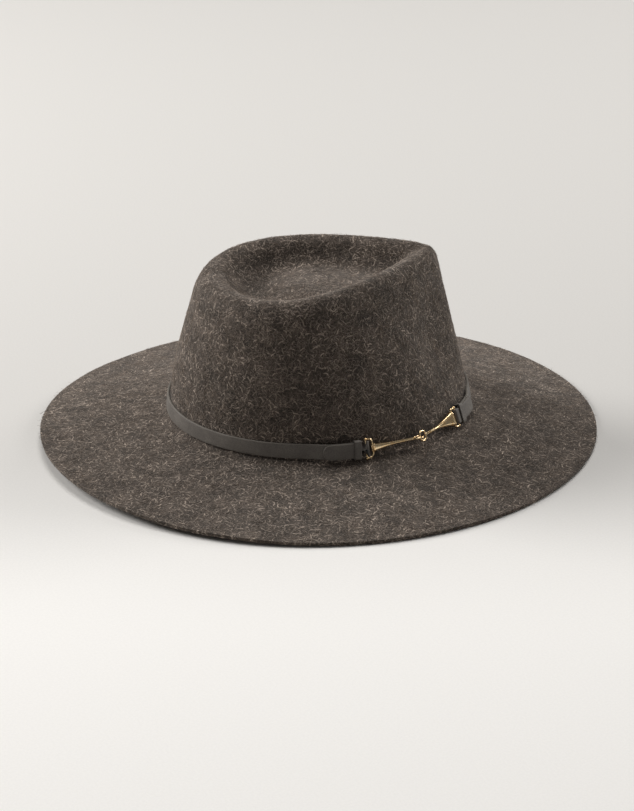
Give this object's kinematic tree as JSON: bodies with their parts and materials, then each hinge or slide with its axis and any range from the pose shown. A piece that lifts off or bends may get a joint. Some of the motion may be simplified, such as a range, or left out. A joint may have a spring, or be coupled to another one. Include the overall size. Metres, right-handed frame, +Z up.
{
  "type": "fedora hat",
  "caption": "Wide-brim felt hat with a teardrop crown, an inner leather sweatband and a slip-on leather band joined by a jointed metal bit.",
  "frame": {"origin": "on the surface the hat stands on, below the middle of the brim and of the head opening", "axes": "+Z up through the crown, -Y is the hat's front, -X is the wearer's right side, where the metal bit is"},
  "size_m": [0.35, 0.368, 0.1177],
  "materials": {
    "wool_felt": "marled dark brown wool felt with light fibres",
    "sweatband_leather": "matte soft leather",
    "reed_plastic": "matte",
    "trim_ribbon": "ribbed grosgrain",
    "tab_cloth": "plain woven, blank",
    "band_leather": "smooth matte leather with sealed edges",
    "gold_metal": "polished pale gold"
  },
  "bodies": {
    "hat": {"felt_body": "wool_felt", "sweatband": "sweatband_leather", "sweatband_reed": "reed_plastic", "sweatband_seam_tape": "trim_ribbon", "sweatband_bow": "trim_ribbon", "size_tab": "tab_cloth"},
    "band": {"band_strap": "band_leather"},
    "rear_keeper_loop": {"rear_keeper": "band_leather"},
    "front_keeper_loop": {"front_keeper": "band_leather"},
    "rear_bit": {"rear_bit_half": "gold_metal", "rear_cross_pin": "gold_metal"},
    "front_bit": {"front_bit_half": "gold_metal", "front_cross_pin": "gold_metal"}
  },
  "joints": [
    {"name": "band_lift", "type": "slide", "parent": "hat", "child": "band", "axis": [0, 0, 1], "range_m": [0, 0.13]},
    {"name": "rear_keeper_slide", "type": "hinge", "parent": "band", "child": "rear_keeper_loop", "pos_m": [0.01853, 0.00249, 0.02488], "axis": [0, 0, -1], "range_deg": [0, 2.5]},
    {"name": "front_keeper_slide", "type": "hinge", "parent": "band", "child": "front_keeper_loop", "pos_m": [0.01962, 0.00454, 0.02488], "axis": [0, 0, 1], "range_deg": [0, 2.5]},
    {"name": "rear_bit_swing", "type": "hinge", "parent": "band", "child": "rear_bit", "pos_m": [-0.093, 0.00601, 0.02488], "axis": [-0.2538, -0.026, -0.9669], "range_deg": [0, 2.2]},
    {"name": "front_bit_swing", "type": "hinge", "parent": "band", "child": "front_bit", "pos_m": [-0.06871, -0.06703, 0.02488], "axis": [0.3503, 0.2098, 0.9129], "range_deg": [0, 2.2]}
  ],
  "couplings": [
    {"joint": "front_bit_swing", "follows": "rear_bit_swing", "ratio": 1}
  ]
}
